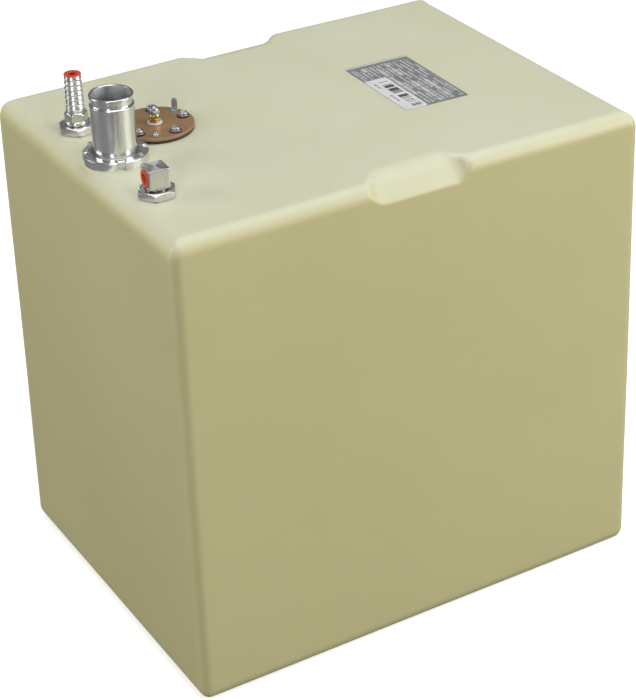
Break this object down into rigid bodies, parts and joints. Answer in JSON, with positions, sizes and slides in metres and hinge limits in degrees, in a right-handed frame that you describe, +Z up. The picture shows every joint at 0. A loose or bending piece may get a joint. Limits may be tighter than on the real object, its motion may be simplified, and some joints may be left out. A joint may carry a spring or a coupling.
{
  "type": "portable liquid tank",
  "caption": "Moulded box-shaped liquid tank with a filler neck, plugged hose-barb vent, plugged outlet elbow with pick-up tube, and a float level sender.",
  "frame": {"origin": "middle of the tank's base, on the surface it stands on", "axes": "+Z up; +X along the tank's length, away from the fittings; +Y across the tank, with the vent on +Y and the outlet on -Y"},
  "size_m": [0.4698, 0.3606, 0.5191],
  "materials": {
    "poly_shell": "translucent natural polyethylene, satin, faint orange peel",
    "aluminium": "turned and polished",
    "brushed_aluminium": "milled and brushed",
    "zinc_steel": "bright zinc plated",
    "brass": "machined",
    "rubber_black": "moulded, matt",
    "red_plastic": "soft moulded polyethylene",
    "white_nylon": "moulded",
    "black_plastic": "moulded",
    "phenolic_brown": "laminated phenolic, satin",
    "resistor_ceramic": "coated card",
    "lead_insulation": "wire insulation",
    "float_rubber": "closed-cell nitrile",
    "label_silver": "printed metallised film",
    "sticker_white": "printed paper"
  },
  "bodies": {
    "tank": {"tank_shell": "poly_shell", "fill_insert": "aluminium", "vent_insert": "aluminium", "outlet_insert": "aluminium", "sender_thread_inserts": "brass", "fill_gasket": "rubber_black", "fill_neck": "aluminium", "fill_lock_ring": "aluminium", "fill_lock_screws": "zinc_steel", "vent_seal": "rubber_black", "vent_hex_adapter": "aluminium", "vent_barb": "aluminium", "outlet_seal": "rubber_black", "outlet_hex_adapter": "aluminium", "outlet_elbow": "brushed_aluminium", "pickup_tube": "aluminium", "pickup_strainer": "white_nylon", "sender_gasket": "rubber_black", "sender_plate": "phenolic_brown", "sender_bracket": "zinc_steel", "sender_screws": "zinc_steel", "sender_rubber_washers": "rubber_black", "sender_steel_washers": "zinc_steel", "bracket_screw": "zinc_steel", "ground_tab": "zinc_steel", "ground_rivet": "zinc_steel", "terminal_insulator": "white_nylon", "terminal_lower_insulator": "white_nylon", "terminal_stud": "brass", "terminal_clamp_nut": "brass", "terminal_collar": "brass", "terminal_cap_nut": "zinc_steel", "sender_housing": "black_plastic", "housing_cover": "black_plastic", "housing_rivets": "zinc_steel", "resistor_card": "resistor_ceramic", "signal_lead": "lead_insulation", "rating_label": "label_silver", "barcode_sticker": "sticker_white"},
    "vent_plug": {"vent_plug": "red_plastic"},
    "outlet_plug": {"outlet_plug": "red_plastic"},
    "float_arm": {"float_arm": "zinc_steel", "wiper": "brass", "float": "float_rubber", "float_clips": "zinc_steel"}
  },
  "joints": [
    {"name": "float_arm_swing", "type": "hinge", "parent": "tank", "child": "float_arm", "pos_m": [-0.1403, 0.0438, 0.237], "axis": [0, -1, 0], "range_deg": [0, 110]},
    {"name": "vent_plug_pull", "type": "slide", "parent": "tank", "child": "vent_plug", "axis": [0, 0, 1], "range_m": [0, 0.03]},
    {"name": "outlet_plug_pull", "type": "slide", "parent": "tank", "child": "outlet_plug", "axis": [-0.9969, 0.0785, 0], "range_m": [0, 0.025]}
  ]
}
